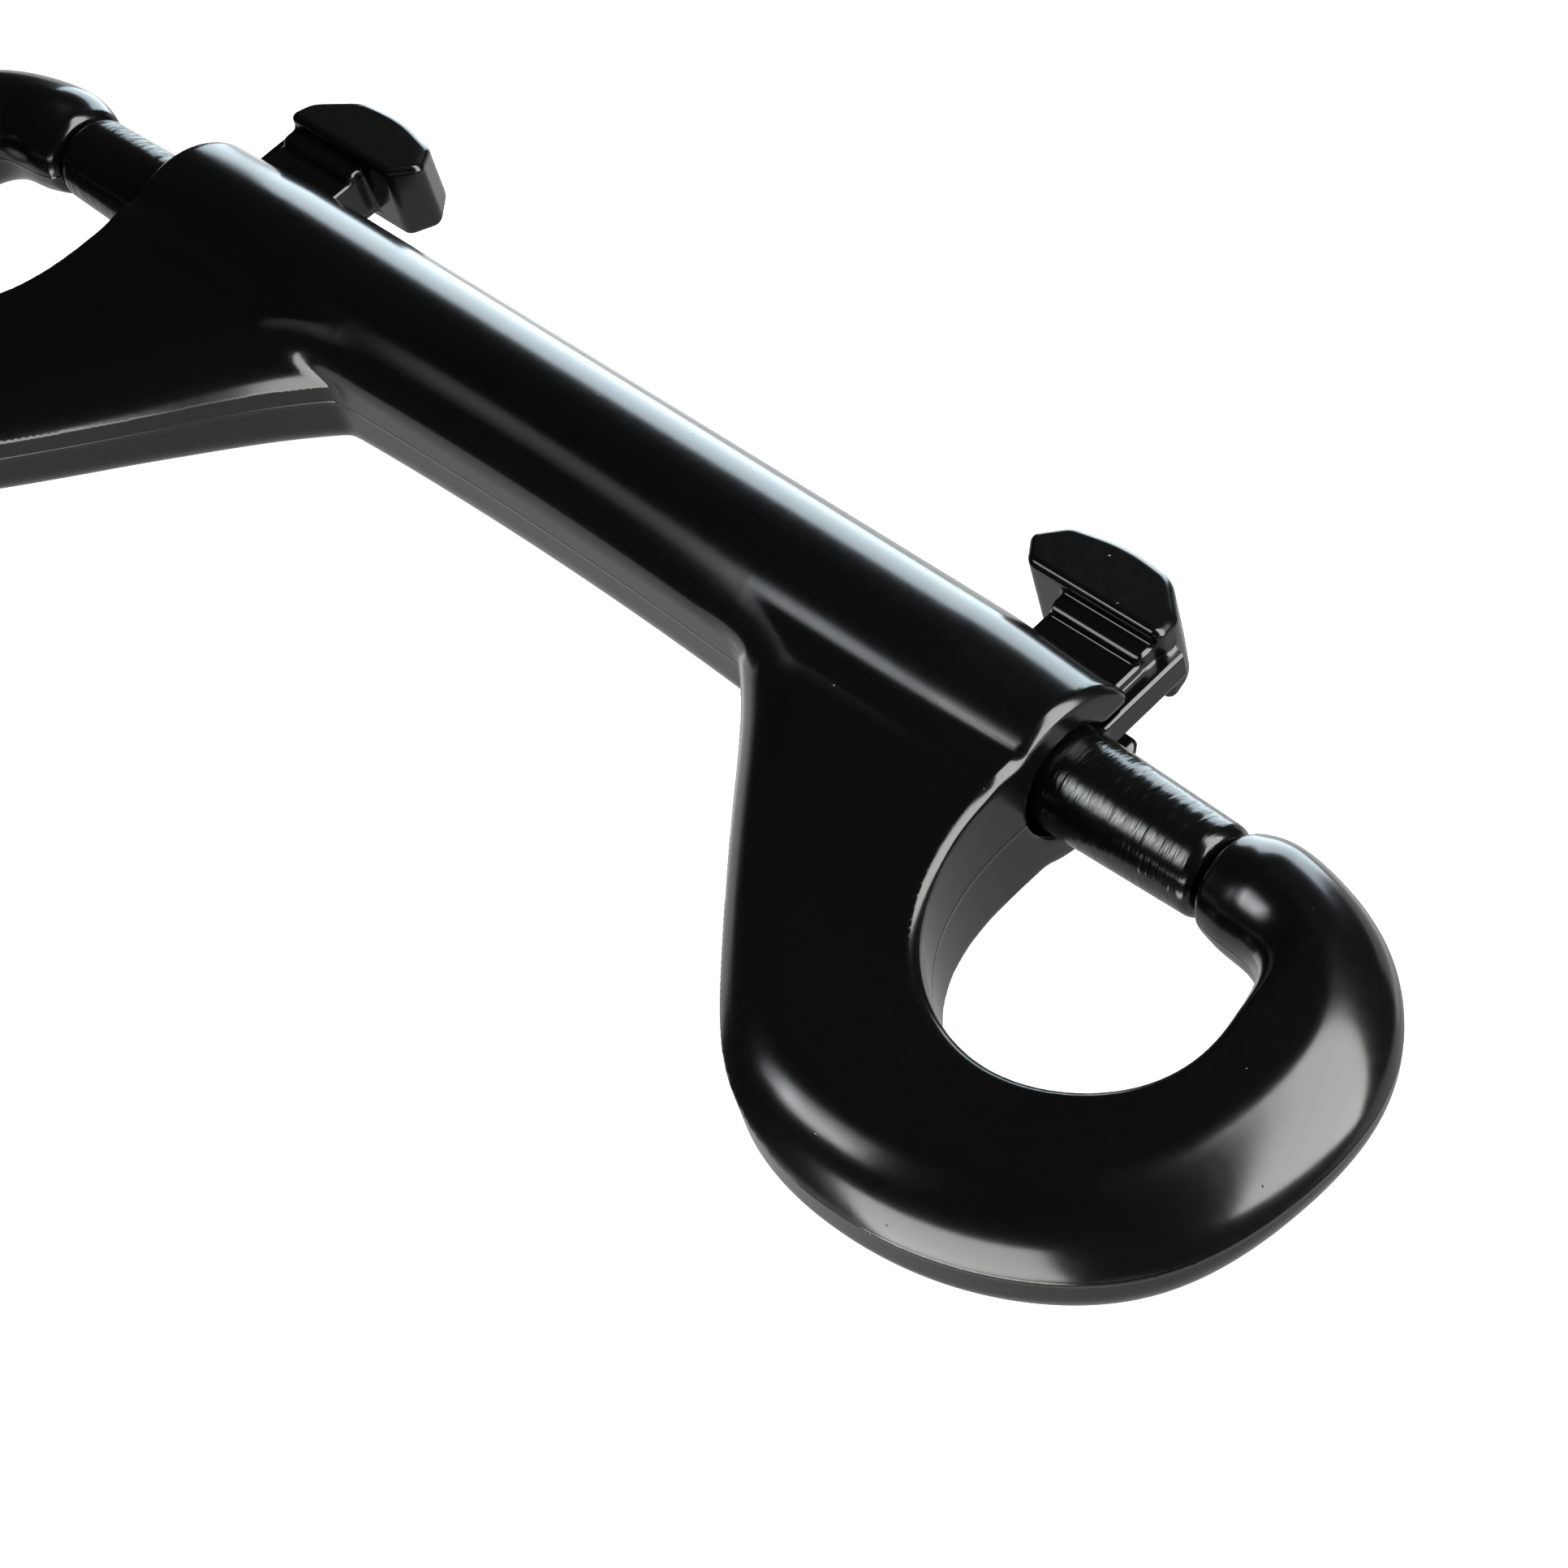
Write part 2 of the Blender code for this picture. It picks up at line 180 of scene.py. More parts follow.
def length(name, description, default):
    return bpy.props.FloatProperty(
        name=name, description=description, default=default, min=0.0, unit="LENGTH"
    )


def share(name, description, default):
    return bpy.props.FloatProperty(
        name=name, description=description, default=default, min=0.0, subtype="FACTOR"
    )


def colour(name, description, default):
    return bpy.props.FloatVectorProperty(
        name=name, description=description, default=default, min=0.0, subtype="COLOR"
    )


class BarrelSizes(bpy.types.PropertyGroup):
    """Sizes of the round barrel between the hooks"""

    face_x: length("Half length", "From the barrel's middle to its end face", 35.0 * MM)
    mouth_radius: length("Mouth radius", "Outer radius at the barrel's ends", 5.0 * MM)
    taper: length("Taper", "Length over which the barrel narrows to its mouth", 9.0 * MM)
    flat_depth: length("Flat depth", "From the axis to the flat below, at its ends", 4.6 * MM)
    flat_length: length("Flat half length", "From the middle to where the webs begin", 16.2 * MM)
    waist: length("Waist", "How much shallower the flat is at the middle", 0.35 * MM)
    draw_in: length("Draw-in", "How far the barrel draws in beside the flat", 0.55 * MM)
    flat_edge: length("Flat edge", "Rounding of the flat's two long edges", 0.35 * MM)
    running_gap: length("Running gap", "Between the bolt and its bore", 0.3 * MM)
    hole_edge: length("Hole edge", "Rounding of the bore's and slot's edges", 0.35 * MM)
    slot_width: length("Slot width", "Width of the slot for the trigger's stem", 3.2 * MM)
    slot_end: length("Slot end", "Distance of the slot's end from the middle", 17.6 * MM)
    bore_end: length("Bore end", "Distance of the bore's end from the middle", 2.0 * MM)


class HookSizes(bpy.types.PropertyGroup):
    """Sizes of the two cast hooks"""

    thickness: length("Thickness", "Thickness of the hook's arm", 6.5 * MM)
    root_thickness: length("Root thickness", "Of the web beside the eye", 8.4 * MM)
    nose_thickness: length("Nose thickness", "Of the nose at its end", 5.2 * MM)
    upper_rounding: length("Upper rounding", "Of the outer edge above the parting", 4.2 * MM)
    lower_rounding: length("Lower rounding", "Of the outer edge below the parting", 1.8 * MM)
    web_rim: length("Web rim", "Height of the web's upright rim over the middle", 1.3 * MM)
    web_slope: bpy.props.FloatProperty(
        name="Web slope",
        description="Tilt of the slope above the web's rim, from upright",
        default=math.radians(23.0),
        subtype="ANGLE",
    )
    web_shoulder: length("Web shoulder", "Rounding between that slope and the web's top", 2.0 * MM)
    corner: length("Corner", "Size of the blend between the barrel's flat and the webs", 0.5 * MM)
    eye_rounding: length("Eye rounding", "Of the eye's edges", 0.55 * MM)
    mouth_rounding: length("Mouth rounding", "Of the barrel's end by the eye", 0.6 * MM)
    nose_edge: length("Nose edge", "Rounding of the nose's end face", 0.5 * MM)
    fillet: length("Fillet", "Size of the blend between the barrel and the hooks", 3.0 * MM)


class TriggerSizes(bpy.types.PropertyGroup):
    """Sizes of the bolts and their thumb triggers"""

    tip_radius: length("Tip radius", "Radius of the bolt at its tip", 2.5 * MM)
    tip_rounding: length("Tip rounding", "Rounding of the bolt's tip", 0.7 * MM)
    stem_thickness: length("Stem thickness", "Of the stem in the slot", 2.6 * MM)
    stem_rear: length("Stem rear", "From the barrel's end back to the stem's rear", 7.4 * MM)
    stem_front: length("Stem front", "From the barrel's end back to the stem's front", 1.3 * MM)
    plate_thickness: length("Plate thickness", "Of the thin plate before the stem", 1.6 * MM)
    plate_front: length("Plate front", "From the barrel's end to the plate's front", 0.35 * MM)
    pad_width: length("Pad width", "Width of the thumb pad at its base", 5.3 * MM)
    pad_base: length("Pad base", "Height of the pad's underside over the axis", 7.7 * MM)
    pad_edge: length("Pad edge", "Rounding of the pad's long edges", 0.45 * MM)
    pad_top_share: share("Pad top", "Width of the pad's top as a share of its base", 0.72)
    ledge_half: length("Ledge half width", "Of the ledge under the pad", 1.75 * MM)
    ledge_depth: length("Ledge depth", "Height of the ledge under the pad", 1.3 * MM)
    fillet: length("Fillet", "Size of the blend between the pad and its stem", 0.5 * MM)


class SpringSizes(bpy.types.PropertyGroup):
    """Sizes of the springs behind the bolts"""

    wire_radius: length("Wire radius", "Radius of the spring's wire", 0.32 * MM)
    turns: bpy.props.IntProperty(
        name="Turns", description="Turns of wire in each spring", default=9, min=2
    )


class FinishLooks(bpy.types.PropertyGroup):
    """Colours and surface marks of the enamel and the wire"""

    enamel: colour("Enamel", "Colour of the black enamel", (0.0010, 0.0011, 0.0015))
    enamel_warm: colour("Thin enamel", "Colour where the enamel is thin", (0.0022, 0.0019, 0.0016))
    enamel_roughness: share("Roughness", "Roughness of the enamel", 0.15)
    ripple: length("Ripple", "Height of the enamel's slow waves", 0.004 * MM)
    peel: length("Peel", "Height of the enamel's fine peel", 0.0012 * MM)
    speck: length("Speck", "Height of the grains under the enamel", 0.02 * MM)
    rings: length("Rings", "Height of the turning marks round the bolts", 0.05 * MM)
    seam: length("Parting line", "Height of the casting's parting line", 0.02 * MM)
    seam_half: length("Parting half width", "Half width of that line", 0.18 * MM)
    wire: colour("Wire", "Colour of the spring wire", (0.55, 0.55, 0.56))


class StageLooks(bpy.types.PropertyGroup):
    """The floor, the lights and the camera"""

    floor: colour("Floor", "Colour of the floor", (0.9, 0.9, 0.9))
    floor_glow: share("Floor glow", "Light that the floor gives by itself", 1.1)
    surroundings: colour("Surroundings", "Colour of the unlit studio", (0.02, 0.02, 0.02))
    lens: bpy.props.FloatProperty(
        name="Lens", description="Focal length of the camera", default=95.55, unit="CAMERA"
    )


# ---------------------------------------------------------------------------- fields


def smooth_step(value, low, high):
    """0 below low and 1 above high, with a smooth climb between them."""
    climb = np.clip((value - low) / (high - low), 0.0, 1.0)
    return climb * climb * (3.0 - 2.0 * climb)


def joined(first, second, fillet):
    """The union of two fields, with a soft fillet where they meet."""
    near = np.maximum(fillet - np.abs(first - second), 0.0) / fillet
    return np.minimum(first, second) - near**3 * fillet / 6.0


def common(first, second, rounding):
    """What two fields share, with the edge between them rounded."""
    over = np.hypot(np.maximum(first + rounding, 0.0), np.maximum(second + rounding, 0.0))
    return np.minimum(np.maximum(first, second), -rounding) + over


def slab(value, low, high):
    """The field of what lies between two planes."""
    return np.maximum(low - value, value - high)


def spline(points, steps):
    """A smooth line through the points, with the given steps between each two."""
    points = np.asarray(points, float)
    knots = np.concatenate([[0.0], np.cumsum(np.hypot(*np.diff(points, axis=0).T) ** 0.5)])
    gaps = np.diff(knots)
    slopes = np.diff(points, axis=0) / gaps[:, None]
    matrix = np.eye(len(points))
    sides = np.zeros_like(points)
    for i in range(1, len(points) - 1):
        matrix[i, i - 1 : i + 2] = gaps[i - 1], 2 * (gaps[i - 1] + gaps[i]), gaps[i]
        sides[i] = 6 * (slopes[i] - slopes[i - 1])
    bends = np.linalg.solve(matrix, sides)
    line = []
    for i, gap in enumerate(gaps):
        right = (np.arange(steps) / steps)[:, None]
        left = 1 - right
        bend = (left**3 - left) * bends[i] + (right**3 - right) * bends[i + 1]
        line.append(left * points[i] + right * points[i + 1] + bend * gap**2 / 6)
    return np.concatenate([*line, points[-1:]])


def eased(corners, steps):
    """A closed line with each corner turned into an arc of its own radius."""
    spots = np.array([corner[:2] for corner in corners], float)
    line = []
    for i, (_, _, radius) in enumerate(corners):
        here = spots[i]
        back, ahead = spots[i - 1] - here, spots[(i + 1) % len(spots)] - here
        back, ahead = back / np.linalg.norm(back), ahead / np.linalg.norm(ahead)
        half = math.acos(float(np.clip(back @ ahead, -1, 1))) / 2
        middle = (back + ahead) / np.linalg.norm(back + ahead)
        centre = here + middle * radius / math.sin(half)
        start = here + back * radius / math.tan(half) - centre
        end = here + ahead * radius / math.tan(half) - centre
        sweep = math.pi - 2 * half
        for step in range(steps + 1):
            turn = sweep * step / steps
            mix = (math.sin(sweep - turn) * start + math.sin(turn) * end) / math.sin(sweep)
            line.append(centre + mix)
    return np.array(line)


def to_line(line, x, y):
    """The distance from each place to an open line of points."""
    least = np.full(x.shape, np.inf)
    for start, end in zip(line[:-1], line[1:]):
        along = end - start
        right, up = x - start[0], y - start[1]
        passed = np.clip((right * along[0] + up * along[1]) / (along @ along), 0.0, 1.0)
        gap = (right - passed * along[0]) ** 2 + (up - passed * along[1]) ** 2
        least = np.minimum(least, gap)
    return np.sqrt(least)


def within(line, x, y):
    """Whether each place is inside a closed line."""
    inside = np.zeros(x.shape, bool)
    for start, end in zip(line, np.roll(line, -1, axis=0)):
        if start[1] != end[1]:
            reach = (end[0] - start[0]) * (y - start[1]) / (end[1] - start[1]) + start[0]
            inside ^= ((start[1] > y) != (end[1] > y)) & (x < reach)
    return inside


def edge_field(line, x, y):
    """The distance to a closed line, negative inside it."""
    closed = np.concatenate([line, line[:1]])
    return to_line(closed, x, y) * np.where(within(line, x, y), -1.0, 1.0)


class Chart:
    """Values over a rectangle of a plane, read smoothly between the points of its grid."""

    def __init__(self, low, high, step, values_at):
        self.low, self.step = low, step
        counts = [math.ceil((h - b) / step) + 1 for b, h in zip(low, high)]
        spots = [b + step * np.arange(count) for b, count in zip(low, counts)]
        self.layers = np.stack(values_at(*np.meshgrid(*spots, indexing="ij")))

    def read(self, x, y):
        """Each layer at the given places, by a cubic spline over the nearest 16 points."""
        cells, weights = [], []
        for value, low, count in zip((x, y), self.low, self.layers.shape[1:]):
            place = np.clip((value - low) / self.step, 1.0, count - 2.001)
            cell = place.astype(int)
            part = place - cell
            cells.append(cell)
            weights.append(
                (
                    (1 - part) ** 3 / 6,
                    (3 * part**3 - 6 * part**2 + 4) / 6,
                    (-3 * part**3 + 3 * part**2 + 3 * part + 1) / 6,
                    part**3 / 6,
                )
            )
        total = 0.0
        for i, across in enumerate(weights[0]):
            for j, up in enumerate(weights[1]):
                total = total + across * up * self.layers[:, cells[0] + i - 1, cells[1] + j - 1]
        return total


# ---------------------------------------------------------------------------- meshes


def net_over(field, low, high, step):
    """A mesh near the field's surface: one point in each cell that it passes, and the quads."""
    spots = [b + step * np.arange(math.ceil((h - b) / step) + 1) for b, h in zip(low, high)]
    column = field(*np.meshgrid(spots[0], spots[1], indexing="ij"))
    inside = np.stack([column(z) < 0 for z in spots[2]], axis=2)
    counts = np.array(inside.shape) - 1
    full = np.zeros(counts, int)
    for i in (0, 1):
        for j in (0, 1):
            for k in (0, 1):
                full += inside[i : counts[0] + i, j : counts[1] + j, k : counts[2] + k]
    passed = (full > 0) & (full < 8)
    index = np.full(counts, -1)
    index[passed] = np.arange(passed.sum())
    points = np.asarray(low) + step * (np.argwhere(passed) + 0.5)
    quads = []
    for axis in range(3):
        order = (axis, (axis + 1) % 3, (axis + 2) % 3)
        metal, cells = inside.transpose(order), index.transpose(order)
        before, after = metal[:-1, 1:-1, 1:-1], metal[1:, 1:-1, 1:-1]
        ring = (cells[:, :-1, :-1], cells[:, 1:, :-1], cells[:, 1:, 1:], cells[:, :-1, 1:])
        quads.append(np.stack(ring, axis=-1)[before & ~after])
        quads.append(np.stack(ring[::-1], axis=-1)[after & ~before])
    return points, np.concatenate(quads)


def slope_at(points, field, nudge=0.01 * MM):
    """The field's value at each point, and how steeply it grows along x, y and z."""
    x, y, z = points.T
    column = field(x, y)
    here = column(z)
    nudged = [field(x + nudge, y)(z), field(x, y + nudge)(z), column(z + nudge)]
    return here, np.stack([value - here for value in nudged], axis=1) / nudge


def pulled(points, field, reach):
    """The points moved onto the field's surface, each by no more than reach."""
    here, slope = slope_at(points, field)
    move = slope * (-here / np.maximum((slope**2).sum(axis=1), 0.1))[:, None]
    far = np.linalg.norm(move, axis=1, keepdims=True)
    return points + move * np.minimum(1.0, reach / np.maximum(far, 1e-12))


def settled(points, quads, field, step, halved):
    """The points evened out and pulled onto the surface; a halved mesh keeps its seam at x 0."""
    seam = points[:, 0] < step / 4 if halved else np.zeros(len(points), bool)
    ends = np.concatenate([quads[:, [i, (i + 1) % 4]] for i in range(4)])
    ends = np.concatenate([ends, ends[:, ::-1]])
    count = np.bincount(ends[:, 0], minlength=len(points))
    for turn in range(SETTLING_TURNS):
        points = pulled(points, field, step)
        points[seam, 0] = 0.0
        if turn < SETTLING_TURNS - 2:
            middle = [np.bincount(ends[:, 0], points[ends[:, 1], i], len(points)) for i in range(3)]
            points = (points + np.stack(middle, axis=1) / count[:, None]) / 2
            points[seam, 0] = 0.0
    return points, seam


def mirrored(points, quads, seam):
    """The half mesh with its mirror image across x 0, joined at the seam."""
    other = np.where(seam, np.arange(len(points)), 0)
    free = ~seam
    other[free] = len(points) + np.arange(free.sum())
    both = np.concatenate([points, points[free] * (-1.0, 1.0, 1.0)])
    return both, np.concatenate([quads, other[quads[:, ::-1]]])


def skin(name, field, low, high, step, halved=False):
    """A piece whose surface is where the field is zero."""
    points, quads = net_over(field, low, high, step)
    points, seam = settled(points, quads, field, step, halved)
    normals = slope_at(points, field, 0.04 * MM)[1]
    normals /= np.maximum(np.linalg.norm(normals, axis=1, keepdims=True), 1e-9)
    if halved:
        normals[seam, 0] = 0.0
        normals = np.concatenate([normals, normals[~seam] * (-1.0, 1.0, 1.0)])
        points, quads = mirrored(points, quads, seam)
    return piece_of(name, points + AXIS, quads, normals)


def piece_of(name, points, faces, normals=None):
    """A smooth piece from its points and faces, shaded by the given normals."""
    mesh = bpy.data.meshes.new(name)
    mesh.from_pydata(points.tolist(), [], faces.tolist())
    mesh.shade_smooth()
    if normals is not None:
        mesh.normals_split_custom_set_from_vertices(normals.tolist())
    piece = bpy.data.objects.new(name, mesh)
    bpy.context.scene.collection.objects.link(piece)
    return piece


def turned_about(piece, name):
    """A second piece, the first one's mirror image across the snap's middle."""
    mesh = piece.data
    points = np.array([vertex.co for vertex in mesh.vertices]) * (-1.0, 1.0, 1.0)
    faces = np.array([list(face.vertices)[::-1] for face in mesh.polygons])
    normals = None
    if mesh.has_custom_normals:
        normals = np.zeros_like(points)
        for loop in mesh.loops:
            normals[loop.vertex_index] = loop.normal
        normals *= (-1.0, 1.0, 1.0)
    return piece_of(name, points, faces, normals)


# ---------------------------------------------------------------------------- forms


def hook_chart(hook):
    """The hook seen square on, in layers: the distances past its outer edge and into its eye,
    its half thickness, how its edges are rounded, and its web's rim and slope."""
    outer = np.concatenate([spline(OUTER_POINTS, SPLINE_STEPS), OUTER_CLOSING]) * MM
    eye = np.concatenate([EYE_OPENING, spline(EYE_POINTS, SPLINE_STEPS), EYE_CLOSING]) * MM
    middle_x, middle_y = HOOK_MIDDLE
    thin, thick, nose = hook.thickness / 2, hook.root_thickness / 2, hook.nose_thickness / 2

    def values_at(x, y):
        past_outer = edge_field(outer, x, y)
        into_eye = edge_field(eye, x, y)
        across = np.abs(past_outer) / (np.abs(past_outer) + np.abs(into_eye) + 1e-9)
        root = smooth_step(y, *ROOT_RISE) * (1 - smooth_step(x, *ROOT_REACH))
        swell = (thick - thin) * root * (1 - SWELL_SHARE + SWELL_SHARE * across)
        end = (1 - smooth_step(x, NOSE_X, NOSE_X + NOSE_LENGTH)) * smooth_step(y, *NOSE_RISE)
        end = end * smooth_step(x, *NOSE_REACH)
        half = thin + swell - (thin - nose) * end
        full = np.minimum(half, (np.abs(past_outer) + np.abs(into_eye)) / 2)
        turn = np.degrees(np.arctan2(x - middle_x, middle_y - y))
        beyond = smooth_step(turn, *UPPER_TURN)
        upper = hook.upper_rounding + (half - hook.upper_rounding) * beyond
        rim = hook.web_rim * smooth_step(-turn, *RIM_TURN)
        sloped = smooth_step(-turn, *SLOPE_TURN)
        push = upper - np.sqrt(upper**2 - np.maximum(rim + upper - half, 0.0) ** 2)
        beyond = smooth_step(turn, *LOWER_TURN)
        lower = hook.lower_rounding + (half - hook.lower_rounding) * beyond
        lower = np.minimum(lower, half)
        inside = hook.eye_rounding + (full - hook.eye_rounding) * smooth_step(turn, *EYE_TURN)
        mouth = smooth_step(y, *MOUTH_RISE) * (1 - smooth_step(x, *MOUTH_REACH))
        inside = inside + (hook.mouth_rounding - hook.eye_rounding) * mouth
        return past_outer, into_eye, half, upper, push, lower, inside, rim, sloped

    return Chart(*HOOK_CHART, values_at)


def casting_field(barrel, hook):
    """The barrel, its webs and its hooks, bored and slotted."""
    chart = hook_chart(hook)
    slot_half = barrel.slot_width / 2
    slot_middle = barrel.slot_end + slot_half
    lean, rise = math.cos(hook.web_slope), math.sin(hook.web_slope)

    def field(x, y):
        x = np.abs(x)
        layers = chart.read(x, y)
        past_outer, into_eye, half, upper, push, lower, inside, rim, sloped = layers
        waist = np.maximum(0.0, 1 - (x / barrel.flat_length) ** 2)
        narrowing = smooth_step(x, barrel.face_x - barrel.taper, barrel.face_x)
        radius = BARREL_RADIUS - (BARREL_RADIUS - barrel.mouth_radius) * narrowing
        flat = barrel.flat_depth - barrel.waist * waist
        throat = np.maximum(slab(x, THROAT_START, NOSE_X), THROAT_BOTTOM - y)
        blend = hook.corner + (hook.fillet - hook.corner) * (1 - smooth_step(y, *FILLET_RISE))

        def at(z):
            out = np.hypot(y, z)
            below = np.maximum(0.0, -y) / np.maximum(out, 1e-9)
            round_part = out - radius + barrel.draw_in * waist * below**2
            round_part = common(round_part, -flat - y, barrel.flat_edge)
            round_part = np.maximum(round_part, x - BARREL_END)
            arched = common(past_outer - push, z - half, upper)
            slope = past_outer * lean + (z - rim) * rise
            slope = common(slope, z - half, hook.web_shoulder)
            above = np.maximum(arched + (slope - arched) * sloped, past_outer)
            plate = np.where(z > 0, above, common(past_outer, -z - half, lower))
            fillet = hook.corner + (blend - hook.corner) * smooth_step(z, *FILLET_DEPTH)
            casting = joined(round_part, plate, fillet)
            casting = common(casting, -into_eye, inside)
            casting = common(casting, -throat, hook.nose_edge)
            bore = out - BOLT_RADIUS - barrel.running_gap
            bore = np.maximum(bore, slab(x, barrel.bore_end, BORE_FRONT))
            casting = common(casting, -bore, barrel.hole_edge)
            beside = np.hypot(np.maximum(slot_middle - x, 0.0), z) - slot_half
            slot = np.maximum(np.maximum(beside, x - BORE_FRONT), OVERLAP - y)
            return common(casting, -slot, barrel.hole_edge)

        return at

    return field


def bolt_field(barrel, trigger):
    """The round bolt, its stem and plate, and the thumb pad."""
    side = eased(PAD_CORNERS, CORNER_STEPS) * MM
    chart = Chart(
        (BOLT_REAR - PAD_CHART_MARGIN, -PAD_CHART_MARGIN),
        (BOLT_TIP + PAD_CHART_MARGIN, PAD_TOP + PAD_CHART_MARGIN),
        PAD_CHART_STEP,
        lambda x, y: [edge_field(side, x, y)],
    )
    stem_rear, stem_front = barrel.face_x - trigger.stem_rear, barrel.face_x - trigger.stem_front
    plate_front = barrel.face_x - trigger.plate_front
    stem_half, plate_half = trigger.stem_thickness / 2, trigger.plate_thickness / 2
    pad_height = PAD_TOP - trigger.pad_base

    def field(x, y):
        (pad_side,) = chart.read(x, y)
        narrowing = np.clip((x - barrel.face_x) / (BOLT_TIP - barrel.face_x), 0.0, 1.0)
        radius = BOLT_RADIUS - (BOLT_RADIUS - trigger.tip_radius) * narrowing
        rise = np.clip((y - trigger.pad_base) / pad_height, 0.0, 1.0)
        pad_half = trigger.pad_width / 2 * (1 - (1 - trigger.pad_top_share) * rise)
        top = trigger.pad_base + OVERLAP
        upright = slab(y, OVERLAP, top)
        ledge_side = slab(y, trigger.pad_base - trigger.ledge_depth, top)
        stem_side = slab(x, stem_rear, stem_front)
        plate_side = slab(x, stem_front - OVERLAP, plate_front)

        def at(z):
            pin = common(np.hypot(y, z) - radius, x - BOLT_TIP, trigger.tip_rounding)
            pin = common(pin, BOLT_REAR - x, REAR_EDGE)
            stem = common(stem_side, np.abs(z) - stem_half, STEM_EDGE)
            stem = np.maximum(stem, upright)
            ledge = common(stem_side, np.abs(z) - trigger.ledge_half, LEDGE_CORNER)
            ledge = common(ledge, ledge_side, LEDGE_EDGE)
            stem = joined(stem, ledge, LEDGE_FILLET)
            plate = common(plate_side, np.abs(z) - plate_half, STEM_EDGE)
            plate = np.maximum(plate, upright)
            pad = common(pad_side, np.abs(z) - pad_half, trigger.pad_edge)
            bolt = joined(joined(stem, plate, STEM_EDGE), pad, trigger.fillet)
            return joined(bolt, pin, PIN_FILLET)

        return at

    return field


def spring_piece(name, spring):
    """One wire wound between the centre wall and the rear of the bolt."""
    wire = spring.wire_radius
    radius = (SPRING_HIGH[2] - SPRING_LOW[2]) / 2 - wire
    start, end = SPRING_LOW[0] + wire, SPRING_HIGH[0] - wire
    count = spring.turns * TURN_STEPS
    points = []
    for step in range(count + 1):
        angle = 2 * math.pi * step / TURN_STEPS
        x = start + (end - start) * step / count
        outward = np.array([0.0, math.cos(angle), math.sin(angle)])
        for part in range(RING_SIDES):
            around = 2 * math.pi * part / RING_SIDES
            offset = outward * math.cos(around) + np.array([math.sin(around), 0, 0])
            points.append(np.array([x, 0, 0]) + outward * radius + offset * wire)
    faces = []
    for step in range(count):
        for part in range(RING_SIDES):
            a, b = step * RING_SIDES + part, step * RING_SIDES + (part + 1) % RING_SIDES
            faces.append((a, b, b + RING_SIDES, a + RING_SIDES))
    return piece_of(name, np.array(points) + AXIS, np.array(faces))


# ---------------------------------------------------------------------------- materials

# Sizes of the enamel's marks, and how much rougher its peel is.
WAVE_SIZE, PEEL_SIZE, THIN_SIZE = 6.0 * MM, 0.7 * MM, 9.0 * MM
GRAIN_GAP, GRAIN_SHARE = 2.2 * MM, 0.06
PEEL_ROUGHNESS = 0.06
FINE, FINER = 3.0, 4.0

# Size of the turning marks, how they are squeezed along the bolt and drawn out round it, and how
# far above the bolt they fade on the stem.
RING_SIZE, RING_STRETCH, RING_FADE = 0.9 * MM, (2.6, 0.4, 0.4), 0.5 * MM

# Size of the marks along the wire, their stretch and colour, and the wire's roughness.
DRAW_SIZE, DRAW_STRETCH, DRAW_COLOUR = 0.15 * MM, (1.0, 6.0, 6.0), (0.35, 0.35, 0.36)
WIRE_ROUGHNESS, DRAW_ROUGHNESS = 0.22, 0.15


class Value:
    """A shader socket that Python's arithmetic works on."""

    def __init__(self, shader, socket):
        self.shader, self.socket = shader, socket

    def _math(self, operation, *values):
        settings = {"operation": operation}
        return self.shader.node("ShaderNodeMath", settings, dict(enumerate(values)))

    def __add__(self, other):
        return self._math("ADD", self, other)

    def __radd__(self, other):
        return self._math("ADD", other, self)

    def __sub__(self, other):
        return self._math("SUBTRACT", self, other)

    def __rsub__(self, other):
        return self._math("SUBTRACT", other, self)

    def __mul__(self, other):
        return self._math("MULTIPLY", self, other)

    def __rmul__(self, other):
        return self._math("MULTIPLY", other, self)


class Shader:
    """A node material, with its Principled shader ready to be set."""

    def __init__(self, name):
        self.material = bpy.data.materials.new(name)
        self.material.use_nodes = True
        self.tree = self.material.node_tree
        self.surface = self.tree.nodes["Principled BSDF"]

    def node(self, kind, settings=None, sockets=None, output=0):
        """A new node: its settings first, then its sockets' values or links."""
        made = self.tree.nodes.new(kind)
        for name, value in (settings or {}).items():
            setattr(made, name, value)
        for key, value in (sockets or {}).items():
            self.set(made.inputs[key], value)
        return Value(self, made.outputs[output])

    def set(self, socket, value):
        if isinstance(value, Value):
            self.tree.links.new(value.socket, socket)
        else:
            socket.default_value = value

    def finish(self, **sockets):
        for name, value in sockets.items():
            self.set(self.surface.inputs[name.replace("_", " ")], value)
        return self.material

    def place(self):
        return self.node("ShaderNodeTexCoord", output="Object")

    def noise(self, place, size, detail=2.0, stretch=(1.0, 1.0, 1.0)):
        """Noise whose marks are about the given size in metres."""
        if stretch != (1.0, 1.0, 1.0):
            sockets = {"Vector": place, "Scale": stretch}
            place = self.node("ShaderNodeMapping", {}, sockets)
        sockets = {"Vector": place, "Scale": 1 / size, "Detail": detail}
        return self.node("ShaderNodeTexNoise", {}, sockets)

    def along(self, place, axis):
        """A place's distance along x, y or z, counted as 0, 1 or 2."""
        return self.node("ShaderNodeSeparateXYZ", {}, {"Vector": place}, output=axis)

    def fade(self, value, start, end):
        """1 below start and 0 above end, with a smooth fall between them."""
        sockets = {"Value": value, "From Min": start, "From Max": end, "To Min": 1.0, "To Max": 0.0}
        return self.node("ShaderNodeMapRange", {"interpolation_type": "SMOOTHSTEP"}, sockets)

    def mix(self, share, first, second):
        return self.node(
            "ShaderNodeMix", {"data_type": "RGBA"}, {0: share, 6: first, 7: second}, output=2
        )


def opaque(shade):
    return (*shade, 1.0)


